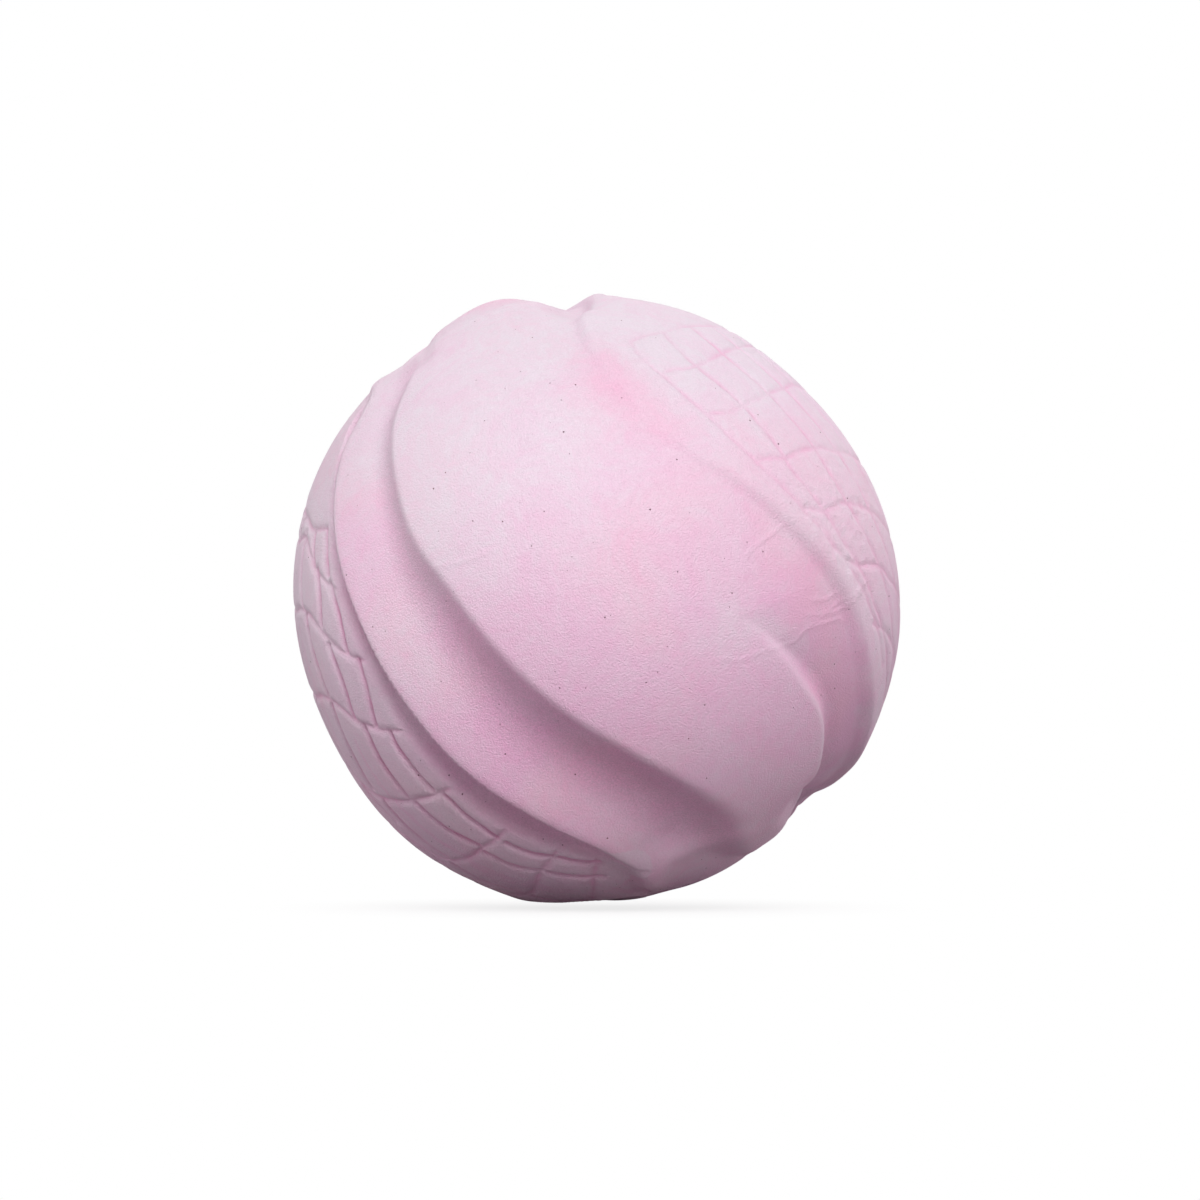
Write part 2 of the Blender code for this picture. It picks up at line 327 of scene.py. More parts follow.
def heading(latitude, longitude):
    """Unit vector in the ball's own frame: longitude 0 is the front, growing to the right."""
    a = radians(latitude)
    b = radians(longitude)
    return Vector((cos(a) * sin(b), -cos(a) * cos(b), sin(a)))


def shape_curve(node, knots, handle):
    """Give a curve node its knots as (0 to 1, 0 to 1) pairs, lowest first."""
    points = node.mapping.curves[0].points
    points[0].location = knots[0]
    points[len(points) - 1].location = knots[-1]
    for knot in knots[1:-1]:
        points.new(*knot)
    for point in points:
        point.handle_type = handle
    node.mapping.update()


def crest_fields(name, knots):
    """Group: how far a heading is from a crest, how many turns east of it, how deep its step."""
    tree, group_in, group_out = new_tree(
        name, (("Heading", "Vector"), ("Crest radius", "Float"), ("Step depth", "Float")),
        (("Away", "Float"), ("East", "Float"), ("Step", "Float"), ("Round", "Float")))
    knots = sorted(knots)
    course = [(lat / 180 + 0.5, lon / 360 + 0.5) for lat, lon, share, edge in knots]
    steps = [(lat / 180 + 0.5, share / DEEPEST) for lat, lon, share, edge in knots]
    edges = [(lat / 180 + 0.5, edge / 1000 / ROUND_LIMIT) for lat, lon, share, edge in knots]
    part = add(tree, "ShaderNodeSeparateXYZ", {0: group_in.outputs["Heading"]})
    tilt = add(tree, "ShaderNodeMath", {0: part.outputs["Z"]}, operation="ARCSINE")
    level = add(tree, "ShaderNodeMath", {0: tilt, 1: 1 / pi, 2: 0.5}, operation="MULTIPLY_ADD")
    south = add(tree, "ShaderNodeMath", {0: part.outputs["Y"], 1: -1.0}, operation="MULTIPLY")
    turn = add(tree, "ShaderNodeMath", {0: part.outputs["X"], 1: south}, operation="ARCTAN2")
    turn = add(tree, "ShaderNodeMath", {0: turn, 1: 0.5 / pi, 2: 0.5}, operation="MULTIPLY_ADD")
    here = add(tree, "ShaderNodeFloatCurve", {"Value": level})
    shape_curve(here, course, "AUTO")
    east = add(tree, "ShaderNodeMath", {0: turn, 1: here}, operation="SUBTRACT")
    east = add(tree, "ShaderNodeMath", {0: east, 1: 0.5, 2: -0.5}, operation="WRAP")
    step = add(tree, "ShaderNodeFloatCurve", {"Value": level})
    shape_curve(step, steps, "VECTOR")
    step = add(tree, "ShaderNodeMath", {0: step, 1: group_in.outputs["Step depth"]},
               operation="MULTIPLY")
    step = add(tree, "ShaderNodeMath", {0: step, 1: DEEPEST}, operation="MULTIPLY")
    edge = add(tree, "ShaderNodeFloatCurve", {"Value": level})
    shape_curve(edge, edges, "AUTO_CLAMPED")
    edge = add(tree, "ShaderNodeMath", {0: edge, 1: ROUND_LIMIT}, operation="MULTIPLY")
    # The crest itself, as a line of points over the ball.
    start, end = course[0][0], course[-1][0]
    along = add(tree, "ShaderNodeMath",
                {0: add(tree, "GeometryNodeInputIndex"), 1: (end - start) / (CREST_POINTS - 1),
                 2: start}, operation="MULTIPLY_ADD")
    there = add(tree, "ShaderNodeFloatCurve", {"Value": along})
    shape_curve(there, course, "AUTO")
    rise = add(tree, "ShaderNodeMath", {0: along, 1: -pi, 2: pi / 2}, operation="MULTIPLY_ADD")
    swing = add(tree, "ShaderNodeMath", {0: there, 1: 2 * pi, 2: -pi}, operation="MULTIPLY_ADD")
    angles = add(tree, "ShaderNodeCombineXYZ", {"X": rise, "Z": swing})
    point = add(tree, "ShaderNodeVectorRotate", {"Vector": (0, -1, 0), "Rotation": angles},
                rotation_type="EULER_XYZ")
    point = add(tree, "ShaderNodeVectorMath",
                {0: point, "Scale": group_in.outputs["Crest radius"]}, operation="SCALE")
    line = add(tree, "GeometryNodeMeshLine", {"Count": CREST_POINTS})
    line = add(tree, "GeometryNodeSetPosition", {"Geometry": line, "Position": point})
    spot = add(tree, "ShaderNodeVectorMath",
               {0: group_in.outputs["Heading"], "Scale": group_in.outputs["Crest radius"]},
               operation="SCALE")
    near = add(tree, "GeometryNodeProximity", {0: line, "Sample Position": spot},
               target_element="EDGES")
    for socket, value in (("Away", near.outputs["Distance"]), ("East", east.outputs[0]),
                          ("Step", step.outputs[0]), ("Round", edge.outputs[0])):
        tree.links.new(value, group_out.inputs[socket])
    return tree


def step_fields():
    """Group: drop on the low side of a crest, which ramps away to nothing at the crest behind.

    Side is 1 where the low side lies west of the crest and -1 where it lies east. The second
    output is how much painted shade the wall gets.
    """
    tree, group_in, group_out = new_tree(
        "lobe_step",
        (("Away", "Float"), ("East", "Float"), ("Step", "Float"), ("Away behind", "Float"),
         ("East behind", "Float"), ("Round", "Float"), ("Run", "Float"), ("Side", "Float")),
        (("Drop", "Float"), ("Wall", "Float")))
    get = group_in.outputs
    east = add(tree, "ShaderNodeMath", {0: get["East"], 1: get["Side"]}, operation="MULTIPLY")
    high = add(tree, "ShaderNodeMath", {0: east, 1: 0.0}, operation="GREATER_THAN")
    sign = add(tree, "ShaderNodeMath", {0: high, 1: -2.0, 2: 1.0}, operation="MULTIPLY_ADD")
    inward = add(tree, "ShaderNodeMath", {0: get["Away"], 1: sign}, operation="MULTIPLY")
    inward = add(tree, "ShaderNodeMath", {0: inward, 1: 0.0, 2: get["Round"]},
                 operation="SMOOTH_MAX")
    behind = add(tree, "ShaderNodeMath", {0: get["East behind"], 1: get["Side"]},
                 operation="MULTIPLY")
    inside = add(tree, "ShaderNodeMath", {0: behind, 1: 0.0}, operation="GREATER_THAN")
    across = add(tree, "ShaderNodeMath", {0: get["Away"], 1: get["Away behind"]}, operation="ADD")
    across = add(tree, "ShaderNodeMath", {0: across, 1: 1e-7}, operation="ADD")
    width = add(tree, "ShaderNodeMath", {0: get["Step"], 1: get["Run"], 2: WALL_FOOT},
                operation="MULTIPLY_ADD")
    room = add(tree, "ShaderNodeMath", {0: across, 1: WALL_LIMIT}, operation="MULTIPLY")
    width = add(tree, "ShaderNodeMath", {0: width, 1: room}, operation="MINIMUM")
    share = add(tree, "ShaderNodeMath", {0: inward, 1: width}, operation="DIVIDE",
                use_clamp=True)
    ease = add(tree, "ShaderNodeMath", {0: share, 1: WALL_STRAIGHT}, operation="SUBTRACT")
    ease = add(tree, "ShaderNodeMath", {0: ease, 1: 0.0}, operation="MAXIMUM")
    ease = add(tree, "ShaderNodeMath", {0: ease, 1: 2.0}, operation="POWER")
    slope = 2 / (1 + WALL_STRAIGHT)
    share = add(tree, "ShaderNodeMath", {0: ease, 1: -0.5 / (1 - WALL_STRAIGHT), 2: share},
                operation="MULTIPLY_ADD")
    drop = add(tree, "ShaderNodeMath", {0: share, 1: slope}, operation="MULTIPLY")
    drop = add(tree, "ShaderNodeMath", {0: drop, 1: get["Step"]}, operation="MULTIPLY")
    ramp = add(tree, "ShaderNodeMath", {0: get["Away behind"], 1: across}, operation="DIVIDE")
    drop = add(tree, "ShaderNodeMath", {0: drop, 1: ramp}, operation="MULTIPLY")
    drop = add(tree, "ShaderNodeMath", {0: drop, 1: inside}, operation="MULTIPLY")
    tree.links.new(drop.outputs[0], group_out.inputs[0])
    # How much painted shade a place has: full over the wall, gone past its foot.
    shade = add(tree, "ShaderNodeMath", {0: inward, 1: width}, operation="DIVIDE")
    shade = add(tree, "ShaderNodeMapRange", {0: shade, 1: 1.2, 2: 0.5, 3: 0.0, 4: 1.0},
                interpolation_type="SMOOTHSTEP")
    onset = add(tree, "ShaderNodeMapRange",
                {0: inward, 1: 0.0, 2: WALL_SHADE_START, 3: 0.0, 4: 1.0},
                interpolation_type="SMOOTHSTEP")
    depth = add(tree, "ShaderNodeMapRange",
                {0: get["Step"], 1: 0.0, 2: WALL_SHADE_DEPTH, 3: 0.0, 4: 1.0})
    for factor in (onset, depth, inside):
        shade = add(tree, "ShaderNodeMath", {0: shade, 1: factor}, operation="MULTIPLY")
    tree.links.new(shade.outputs[0], group_out.inputs[1])
    return tree


def bell_fields():
    """Group: a bell that is 1 on a line or a point and fades out over about twice its width."""
    tree, group_in, group_out = new_tree(
        "bell", (("Away", "Float"), ("Width", "Float")), (("Bell", "Float"),))
    share = add(tree, "ShaderNodeMath",
                {0: group_in.outputs["Away"], 1: group_in.outputs["Width"]}, operation="DIVIDE")
    share = add(tree, "ShaderNodeMath", {0: share, 1: 2.0}, operation="POWER")
    share = add(tree, "ShaderNodeMath", {0: share, 1: -1.0}, operation="MULTIPLY")
    share = add(tree, "ShaderNodeMath", {0: share}, operation="EXPONENT")
    tree.links.new(share.outputs[0], group_out.inputs[0])
    return tree


def line_mesh(name, paths, turns):
    """Lines over the ball, each smooth through its (latitude, longitude) knots, as edges."""
    mesh = bmesh.new()
    for turn in turns:
        for path in paths:
            knots = [heading(lat, lon + turn) for lat, lon in path]
            knots = [2 * knots[0] - knots[1]] + knots + [2 * knots[-1] - knots[-2]]
            last = None
            for i in range(1, len(knots) - 2):
                p0, p1, p2, p3 = knots[i - 1:i + 3]
                for n in range(LINE_STEPS + 1):
                    t = n / LINE_STEPS
                    p = (2 * p1 + (p2 - p0) * t + (2 * p0 - 5 * p1 + 4 * p2 - p3) * t * t
                         + (3 * p1 - p0 - 3 * p2 + p3) * t ** 3)
                    vert = mesh.verts.new(p.normalized() * CREST_RADIUS)
                    if last:
                        mesh.edges.new((last, vert))
                    last = vert
    data = bpy.data.meshes.new(name)
    mesh.to_mesh(data)
    mesh.free()
    lines = bpy.data.objects.new(name, data)
    bpy.context.scene.collection.objects.link(lines)
    return lines


# Closed-cell foam rubber, marbled from a pale lavender and a pink stock, pressed in a mould of
# blasted steel: matt, with a fine leather grain, pinholes where gas left it and deeper pink in
# the pressed grooves. Painted shade darkens its walls and pinholes, painted light and shade
# speckle its grain, and a painted highlight pales its crests and the bricks' backs.
PALE_STOCK = "#E8D8E4"
PINK_STOCK = "#EFB8D8"
ROSE_STOCK = "#F1BAD4"
# The walls' painted shade, the grooves' own deeper pink, and the painted shade inside the
# pinholes.
WALL_SHADE_PINK = "#C968A3"
GROOVE_PINK = "#E873B4"
PINHOLE_SHADE = "#7C3350"
RUBBER_ROUGHNESS = 0.62
RUBBER_SHEEN = 0.45
# How strong the walls' painted shade, the grooves' pink and the painted highlight on the bricks'
# backs and on the crests are.
WALL_SHADE_STRENGTH = 0.29
GROOVE_DYE = 0.65
BRICK_BACK_HIGHLIGHT = 0.34
CREST_HIGHLIGHT = 0.35
# Sizes of what shows in the rubber, from the folds of the marbling down to the grain.
HUE = 0.016
SWIRL = 0.012
SWIRL_REACH = 0.010
CLOUD = 0.006
GROOVE_PATCH = 0.003
FLECK = 0.0012
SPECK = 0.00020
GRAIN = 0.00018
GRAIN_DEPTH = 0.00014
PINHOLE_SPACING = 0.0015
PINHOLE_SHARE = (0.030, 0.080)
# Heights above the joint between which the rubber turns from pale to pink, and how pink it is
# at each.
STOCKS_MEET = (0.017, -0.011)
STOCKS_SHARE = (0.26, 0.78)
# Marbling, as places on the ball: latitude, longitude, radius and how much pinker. The paler
# places between the band crest and the smooth crest are partly painted light, lightening that
# lobe.
BLENDS = (
    (44, 22, 0.0045, 0.22), (36, 22, 0.0045, 0.12), (28, 25, 0.0050, 0.10),
    (47, 25, 0.0026, 0.22), (42, 25, 0.0026, 0.28), (37, 25, 0.0026, 0.36),
    (32, 26, 0.0028, 0.36), (27, 28, 0.0028, 0.32), (21, 28, 0.0040, 0.16),
    (31, -49, 0.0060, 0.28), (19, -46, 0.0060, 0.26), (84, 50, 0.0045, 0.35),
    (-6, 37, 0.0055, 0.18), (-13, 37, 0.0050, 0.13), (10, 34, 0.0060, 0.10),
    (12, 4, 0.0100, 0.12), (45, -14, 0.0160, -0.12), (50, 50, 0.0160, -0.18),
    (14, -14, 0.0110, -0.10), (2, -15, 0.0060, 0.14), (-1, -40, 0.0060, -0.14),
    (-7, -46, 0.0045, 0.10), (-20, 75, 0.0120, -0.15), (-24, -33, 0.0080, 0.06),
    (-44, -24, 0.0080, 0.04), (-49, -2, 0.0060, -0.12), (-59, -13, 0.0060, -0.08),
    (-64, 8, 0.0060, -0.22), (-14, 26, 0.0045, -0.25), (-21, 33, 0.0035, -0.20),
    (-15, 43, 0.0045, 0.20), (-28, 51, 0.0050, 0.24), (-40, 58, 0.0050, 0.28),
    (-49, 63, 0.0050, 0.28), (-3, 45, 0.0035, -0.25), (-12, 52, 0.0035, -0.35),
    (-22, 60, 0.0035, -0.35), (-32, 66, 0.0035, -0.35), (-42, 75, 0.0040, -0.35),
)


def foam_rubber(name):
    """The marbled skin rubber, one material for each half so that each keeps its own slot."""
    material = bpy.data.materials.new(name)
    material.use_nodes = True
    tree = material.node_tree
    shader = tree.nodes["Principled BSDF"]
    place = add(tree, "ShaderNodeTexCoord").outputs["Object"]
    # Folded streaks: the place that a point of the rubber came from before it was kneaded.
    swirl = add(tree, "ShaderNodeTexNoise", {"Vector": place, "Scale": 1 / SWIRL, "Detail": 3.0})
    swirl = add(tree, "ShaderNodeVectorMath", {0: swirl.outputs["Color"], 1: (0.5, 0.5, 0.5)},
                operation="SUBTRACT")
    swirl = add(tree, "ShaderNodeVectorMath", {0: swirl, "Scale": SWIRL_REACH},
                operation="SCALE")
    folded = add(tree, "ShaderNodeVectorMath", {0: place, 1: swirl}, operation="ADD")
    # Pinker below a wandering line north of the joint, and in the places that BLENDS lists.
    lean = Matrix.Rotation(radians(-AXIS_LEAN), 3, "Y")
    height = add(tree, "ShaderNodeVectorMath", {0: folded, 1: lean @ Vector((0, 0, 1))},
                 operation="DOT_PRODUCT")
    pink = add(tree, "ShaderNodeMapRange",
               {0: height.outputs["Value"], 1: STOCKS_MEET[0], 2: STOCKS_MEET[1],
                3: STOCKS_SHARE[0], 4: STOCKS_SHARE[1]})
    for lat, lon, radius, amount in BLENDS:
        away = add(tree, "ShaderNodeVectorMath",
                   {0: folded, 1: lean @ (heading(lat, lon) * (CREST_RADIUS - 0.001))},
                   operation="DISTANCE")
        patch = add(tree, "ShaderNodeMapRange",
                    {0: away.outputs["Value"], 1: radius * 1.5, 2: 0.0, 3: 0.0, 4: amount},
                    interpolation_type="SMOOTHSTEP")
        pink = add(tree, "ShaderNodeMath", {0: pink, 1: patch}, operation="ADD")
    for size, detail, roughness, amount, clamp in (
            (CLOUD, 4.0, 0.60, 0.14, False), (FLECK, 3.0, 0.65, 0.13, True)):
        cloud = add(tree, "ShaderNodeTexNoise",
                    {"Vector": folded, "Scale": 1 / size, "Detail": detail,
                     "Roughness": roughness})
        cloud = add(tree, "ShaderNodeMapRange", {0: cloud, 1: 0.3, 2: 0.7, 3: -amount, 4: amount})
        pink = add(tree, "ShaderNodeMath", {0: pink, 1: cloud}, operation="ADD",
                   use_clamp=clamp)
    hue = add(tree, "ShaderNodeTexNoise", {"Vector": folded, "Scale": 1 / HUE, "Detail": 2.0})
    hue = add(tree, "ShaderNodeMapRange", {0: hue, 1: 0.42, 2: 0.6, 3: 0.0, 4: 0.8})
    stock = add(tree, "ShaderNodeMix", {0: hue, 6: dye(PINK_STOCK), 7: dye(ROSE_STOCK)},
                data_type="RGBA")
    colour = add(tree, "ShaderNodeMix", {0: pink, 6: dye(PALE_STOCK), 7: stock.outputs[2]},
                 data_type="RGBA")
    # Painted shade in a deeper pink on the walls, deeper pink in the pressed grooves, where it
    # comes and goes, and a paler painted highlight on the bricks' backs and along the crests.
    marks = {}
    for mark, strength in (("wall", WALL_SHADE_STRENGTH), ("groove", GROOVE_DYE), ("bar", BRICK_BACK_HIGHLIGHT),
                           ("crest", CREST_HIGHLIGHT)):
        marks[mark] = add(tree, "ShaderNodeAttribute", attribute_name=mark)
        marks[mark] = add(tree, "ShaderNodeMath", {0: marks[mark].outputs["Fac"], 1: strength},
                          operation="MULTIPLY")
    faded = add(tree, "ShaderNodeTexNoise",
                {"Vector": place, "Scale": 1 / GROOVE_PATCH, "Detail": 2.0})
    faded = add(tree, "ShaderNodeMapRange", {0: faded, 1: 0.36, 2: 0.60, 3: 0.30, 4: 1.0})
    marks["groove"] = add(tree, "ShaderNodeMath", {0: marks["groove"], 1: faded},
                          operation="MULTIPLY")
    for mark, shade in (("wall", WALL_SHADE_PINK), ("groove", GROOVE_PINK), ("bar", PALE_STOCK),
                        ("crest", PALE_STOCK)):
        colour = add(tree, "ShaderNodeMix",
                     {0: marks[mark], 6: colour.outputs[2], 7: dye(shade)}, data_type="RGBA")
    # Pinholes: gas cells that the surface cuts through, in every size up to 0.2 mm across. Their
    # dark colour is painted shade inside them.
    dots = add(tree, "ShaderNodeTexVoronoi", {"Vector": place, "Scale": 1 / PINHOLE_SPACING})
    size = add(tree, "ShaderNodeSeparateColor", {0: dots.outputs["Color"]})
    size = add(tree, "ShaderNodeMapRange",
               {0: size, 1: 0.0, 2: 1.0, 3: PINHOLE_SHARE[0], 4: PINHOLE_SHARE[1]})
    ratio = add(tree, "ShaderNodeMath", {0: dots.outputs["Distance"], 1: size},
                operation="DIVIDE")
    hole = add(tree, "ShaderNodeMapRange", {0: ratio, 1: 1.0, 2: 0.4, 3: 0.0, 4: 0.95},
               interpolation_type="SMOOTHSTEP")
    colour = add(tree, "ShaderNodeMix", {0: hole, 6: colour.outputs[2], 7: dye(PINHOLE_SHADE)},
                 data_type="RGBA")
    # Painted light and shade of the grain's bumps, strongest on the walls.
    fine = add(tree, "ShaderNodeTexNoise",
               {"Vector": place, "Scale": 1 / SPECK, "Detail": 2.0, "Roughness": 0.7})
    grain_shading = add(tree, "ShaderNodeMath", {0: marks["wall"], 1: 0.8, 2: 0.10},
               operation="MULTIPLY_ADD")
    fine = add(tree, "ShaderNodeMath", {0: fine, 1: 0.5}, operation="SUBTRACT")
    fine = add(tree, "ShaderNodeMath", {0: fine, 1: grain_shading}, operation="MULTIPLY")
    fine = add(tree, "ShaderNodeMath", {0: fine, 1: 2.2, 2: 1.0}, operation="MULTIPLY_ADD")
    colour = add(tree, "ShaderNodeVectorMath", {0: colour.outputs[2], "Scale": fine},
                 operation="SCALE")
    tree.links.new(colour.outputs[0], shader.inputs["Base Color"])
    shader.inputs["Roughness"].default_value = RUBBER_ROUGHNESS
    shader.inputs["Specular IOR Level"].default_value = RUBBER_SHEEN
    # Leather grain of the mould, with the pinholes sunk into it. It is turned out of line with
    # the ball, so that its rows don't show.
    askew = add(tree, "ShaderNodeVectorRotate", {"Vector": place, "Rotation": (0.7, 0.4, 0.9)},
                rotation_type="EULER_XYZ")
    grain = add(tree, "ShaderNodeTexNoise",
                {"Vector": askew, "Scale": 1 / GRAIN, "Detail": 3.0, "Roughness": 0.55,
                 "Distortion": 0.4})
    relief = add(tree, "ShaderNodeMath", {0: hole, 1: -1.5, 2: grain}, operation="MULTIPLY_ADD")
    bump = add(tree, "ShaderNodeBump", {"Height": relief, "Strength": 1.0,
                                        "Distance": GRAIN_DEPTH})
    tree.links.new(bump.outputs[0], shader.inputs["Normal"])
    return material


valley_lines = {"Valley %d" % (i + 1): valley for i, valley in enumerate(VALLEYS)}
tree, group_in, group_out = new_tree(
    "moulded_skin",
    (("Crest radius", "Float"), ("Step depth", "Float"), ("Cuts", "Int"), ("Net", "Object"),
     ("Joints", "Object"), ("Folds", "Object"), ("Ridges", "Object"),
     ("Groove width", "Float"), ("Groove depth", "Float"), ("Brick round", "Float"),
     ("Brick depth", "Float"), ("Strip depth", "Float"), ("Fold width", "Float"),
     ("Fold height", "Float"), ("Ridge width", "Float"), ("Ridge height", "Float"),
     ("Crumple", "Float"), *((name, "Object") for name in valley_lines),
     ("Rubber", "Material")),
    (("Geometry", "Geometry"),))
get = group_in.outputs

# A cube cut into squares and blown up to a ball of radius 1, with the squares kept even.
points = add(tree, "ShaderNodeMath", {0: get["Cuts"], 1: 1.0}, operation="ADD")
cube = add(tree, "GeometryNodeMeshCube", {"Size": (2, 2, 2), "Vertices X": points,
                                          "Vertices Y": points, "Vertices Z": points})
even = add(tree, "ShaderNodeVectorMath",
           {0: add(tree, "GeometryNodeInputPosition"), "Scale": pi / 4}, operation="SCALE")
even = add(tree, "ShaderNodeVectorMath", {0: even}, operation="TANGENT")
even = add(tree, "ShaderNodeVectorMath", {0: even}, operation="NORMALIZE")
ball = add(tree, "GeometryNodeSetPosition", {"Geometry": cube, "Position": even})
spot = add(tree, "GeometryNodeInputPosition")
turned = add(tree, "ShaderNodeVectorMath", {0: spot, 1: (-1, -1, 1)}, operation="MULTIPLY")

# How much of a form is left towards the poles.
part = add(tree, "ShaderNodeSeparateXYZ", {0: spot})
north = add(tree, "ShaderNodeMath", {0: part.outputs["Z"]}, operation="ARCSINE")
tilt = add(tree, "ShaderNodeMath", {0: north}, operation="ABSOLUTE")
left = {}
for form, angle, (full, gone), ease in (
        ("back crests", tilt, BACK_CREST_FADE, "LINEAR"), ("strip", tilt, STRIP_FADE, "LINEAR"),
        ("net", north, NET_FADE, "SMOOTHSTEP")):
    left[form] = add(tree, "ShaderNodeMapRange",
                     {0: angle, 1: radians(full), 2: radians(gone), 3: 1.0, 4: 0.0},
                     interpolation_type=ease)

# Where each crest is: on the front, and by half a turn on the back.
near = {}
steps = {}
for name, (run, highlight_strength, knots) in CRESTS.items():
    fields = crest_fields(name + "_crest", knots)
    for side, seen_from in (("front", spot), ("back", turned)):
        node = add(tree, "GeometryNodeGroup",
                   {"Heading": seen_from, "Crest radius": get["Crest radius"],
                    "Step depth": get["Step depth"]}, node_tree=fields)
        near[side, name] = node.outputs
        steps[side, name] = node.outputs["Step"]
        if side == "back":
            steps[side, name] = add(tree, "ShaderNodeMath",
                                    {0: node.outputs["Step"], 1: left["back crests"]},
                                    operation="MULTIPLY")

# The plain strip between the net's east edge and the foot of the crest beyond it.
strip = None
edge_away = []
fields = crest_fields("net_edge", [(lat, lon, 1.0, 1.0) for lat, lon in NET_EDGE])
for other, seen_from in (("back", spot), ("front", turned)):
    node = add(tree, "GeometryNodeGroup",
               {"Heading": seen_from, "Crest radius": get["Crest radius"]}, node_tree=fields)
    edge_away.append(node.outputs["Away"])
    past = add(tree, "ShaderNodeMath", {0: node.outputs["East"], 1: 0.0},
               operation="GREATER_THAN")
    before = add(tree, "ShaderNodeMath", {0: near[other, "band"]["East"], 1: 0.0},
                 operation="LESS_THAN")
    past = add(tree, "ShaderNodeMath", {0: past, 1: before}, operation="MULTIPLY")
    strip = past if strip is None else add(tree, "ShaderNodeMath", {0: strip, 1: past},
                                           operation="MAXIMUM")
strip = add(tree, "ShaderNodeMath", {0: strip, 1: left["strip"]}, operation="MULTIPLY")
rim = add(tree, "ShaderNodeMath", {0: edge_away[0], 1: edge_away[1]}, operation="MINIMUM")

# Every crest with the one that its low side runs back to, and whether that side lies west.
lobe_step = step_fields()
drop = wall = crest_highlight = None
for here, there in (("front", "back"), ("back", "front")):
    for crest, behind, side in (
            ((here, "band"), (there, "net"), 1.0), ((here, "smooth"), (here, "band"), 1.0),
            ((here, "net"), (here, "smooth"), 1.0), ((here, "valley"), (here, "net"), -1.0)):
        run, highlight_strength = CRESTS[crest[1]][:2]
        node = add(tree, "GeometryNodeGroup",
                   {"Away": near[crest]["Away"], "East": near[crest]["East"],
                    "Step": steps[crest], "Away behind": near[behind]["Away"],
                    "East behind": near[behind]["East"], "Round": near[crest]["Round"],
                    "Run": run, "Side": side}, node_tree=lobe_step)
        # A painted highlight, paler, along each crest, as strong as its step is deep.
        highlight = add(tree, "ShaderNodeMapRange",
                   {0: near[crest]["Away"], 1: 0.0, 2: CREST_HIGHLIGHT_REACH, 3: highlight_strength, 4: 0.0},
                   interpolation_type="SMOOTHSTEP")
        share = add(tree, "ShaderNodeMath", {0: steps[crest], 1: 1 / STEP_DEPTH},
                    operation="MULTIPLY", use_clamp=True)
        highlight = add(tree, "ShaderNodeMath", {0: highlight, 1: share}, operation="MULTIPLY")
        if drop is None:
            drop, wall, crest_highlight = node.outputs["Drop"], node.outputs["Wall"], highlight
            continue
        drop = add(tree, "ShaderNodeMath", {0: drop, 1: node.outputs["Drop"]},
                   operation="ADD")
        wall = add(tree, "ShaderNodeMath", {0: wall, 1: node.outputs["Wall"]},
                   operation="MAXIMUM")
        crest_highlight = add(tree, "ShaderNodeMath", {0: crest_highlight, 1: highlight},
                         operation="MAXIMUM")

bell = bell_fields()
for lat, lon, radius, depth in HOLLOWS:
    away = add(tree, "ShaderNodeVectorMath", {0: spot, 1: heading(lat, lon)},
               operation="DISTANCE")
    hollow = add(tree, "GeometryNodeGroup",
                 {"Away": away.outputs["Value"], "Width": radius / CREST_RADIUS},
                 node_tree=bell)
    drop = add(tree, "ShaderNodeMath", {0: hollow, 1: depth, 2: drop}, operation="MULTIPLY_ADD")

# How far a place is from each kind of line. The net and the folds wander a little.
surface = add(tree, "ShaderNodeVectorMath", {0: spot, "Scale": get["Crest radius"]},
              operation="SCALE")
wobble = add(tree, "ShaderNodeTexNoise", {"Vector": surface, "Scale": 1 / NET_WOBBLE_SIZE})
wobble = add(tree, "ShaderNodeVectorMath", {0: wobble.outputs["Color"], 1: (0.5, 0.5, 0.5)},
             operation="SUBTRACT")
wobble = add(tree, "ShaderNodeVectorMath", {0: wobble, "Scale": 2 * NET_WOBBLE},
             operation="SCALE")
wandering = add(tree, "ShaderNodeVectorMath", {0: surface, 1: wobble}, operation="ADD")
reach = {}
bells = {}
for name, width in (("Net", get["Groove width"]), ("Joints", get["Groove width"]),
                    ("Folds", get["Fold width"]), ("Ridges", get["Ridge width"]),
                    *((name, width) for name, (width, depth, path) in valley_lines.items())):
    lines = add(tree, "GeometryNodeObjectInfo", {"Object": get[name]})
    near_line = add(tree, "GeometryNodeProximity",
                    {0: lines.outputs["Geometry"],
                     "Sample Position": wandering if name in ("Net", "Joints", "Folds")
                     else surface}, target_element="EDGES")
    reach[name] = near_line.outputs["Distance"]
    bells[name] = add(tree, "GeometryNodeGroup", {"Away": reach[name], "Width": width},
                      node_tree=bell)
bricks = {}
for name in ("Net", "Joints"):
    brick = add(tree, "ShaderNodeMath", {0: reach[name], 1: get["Brick round"]},
                operation="DIVIDE", use_clamp=True)
    brick = add(tree, "ShaderNodeMath", {0: 1.0, 1: brick}, operation="SUBTRACT")
    bricks[name] = add(tree, "ShaderNodeMath", {0: brick, 1: BRICK_POWER}, operation="POWER")

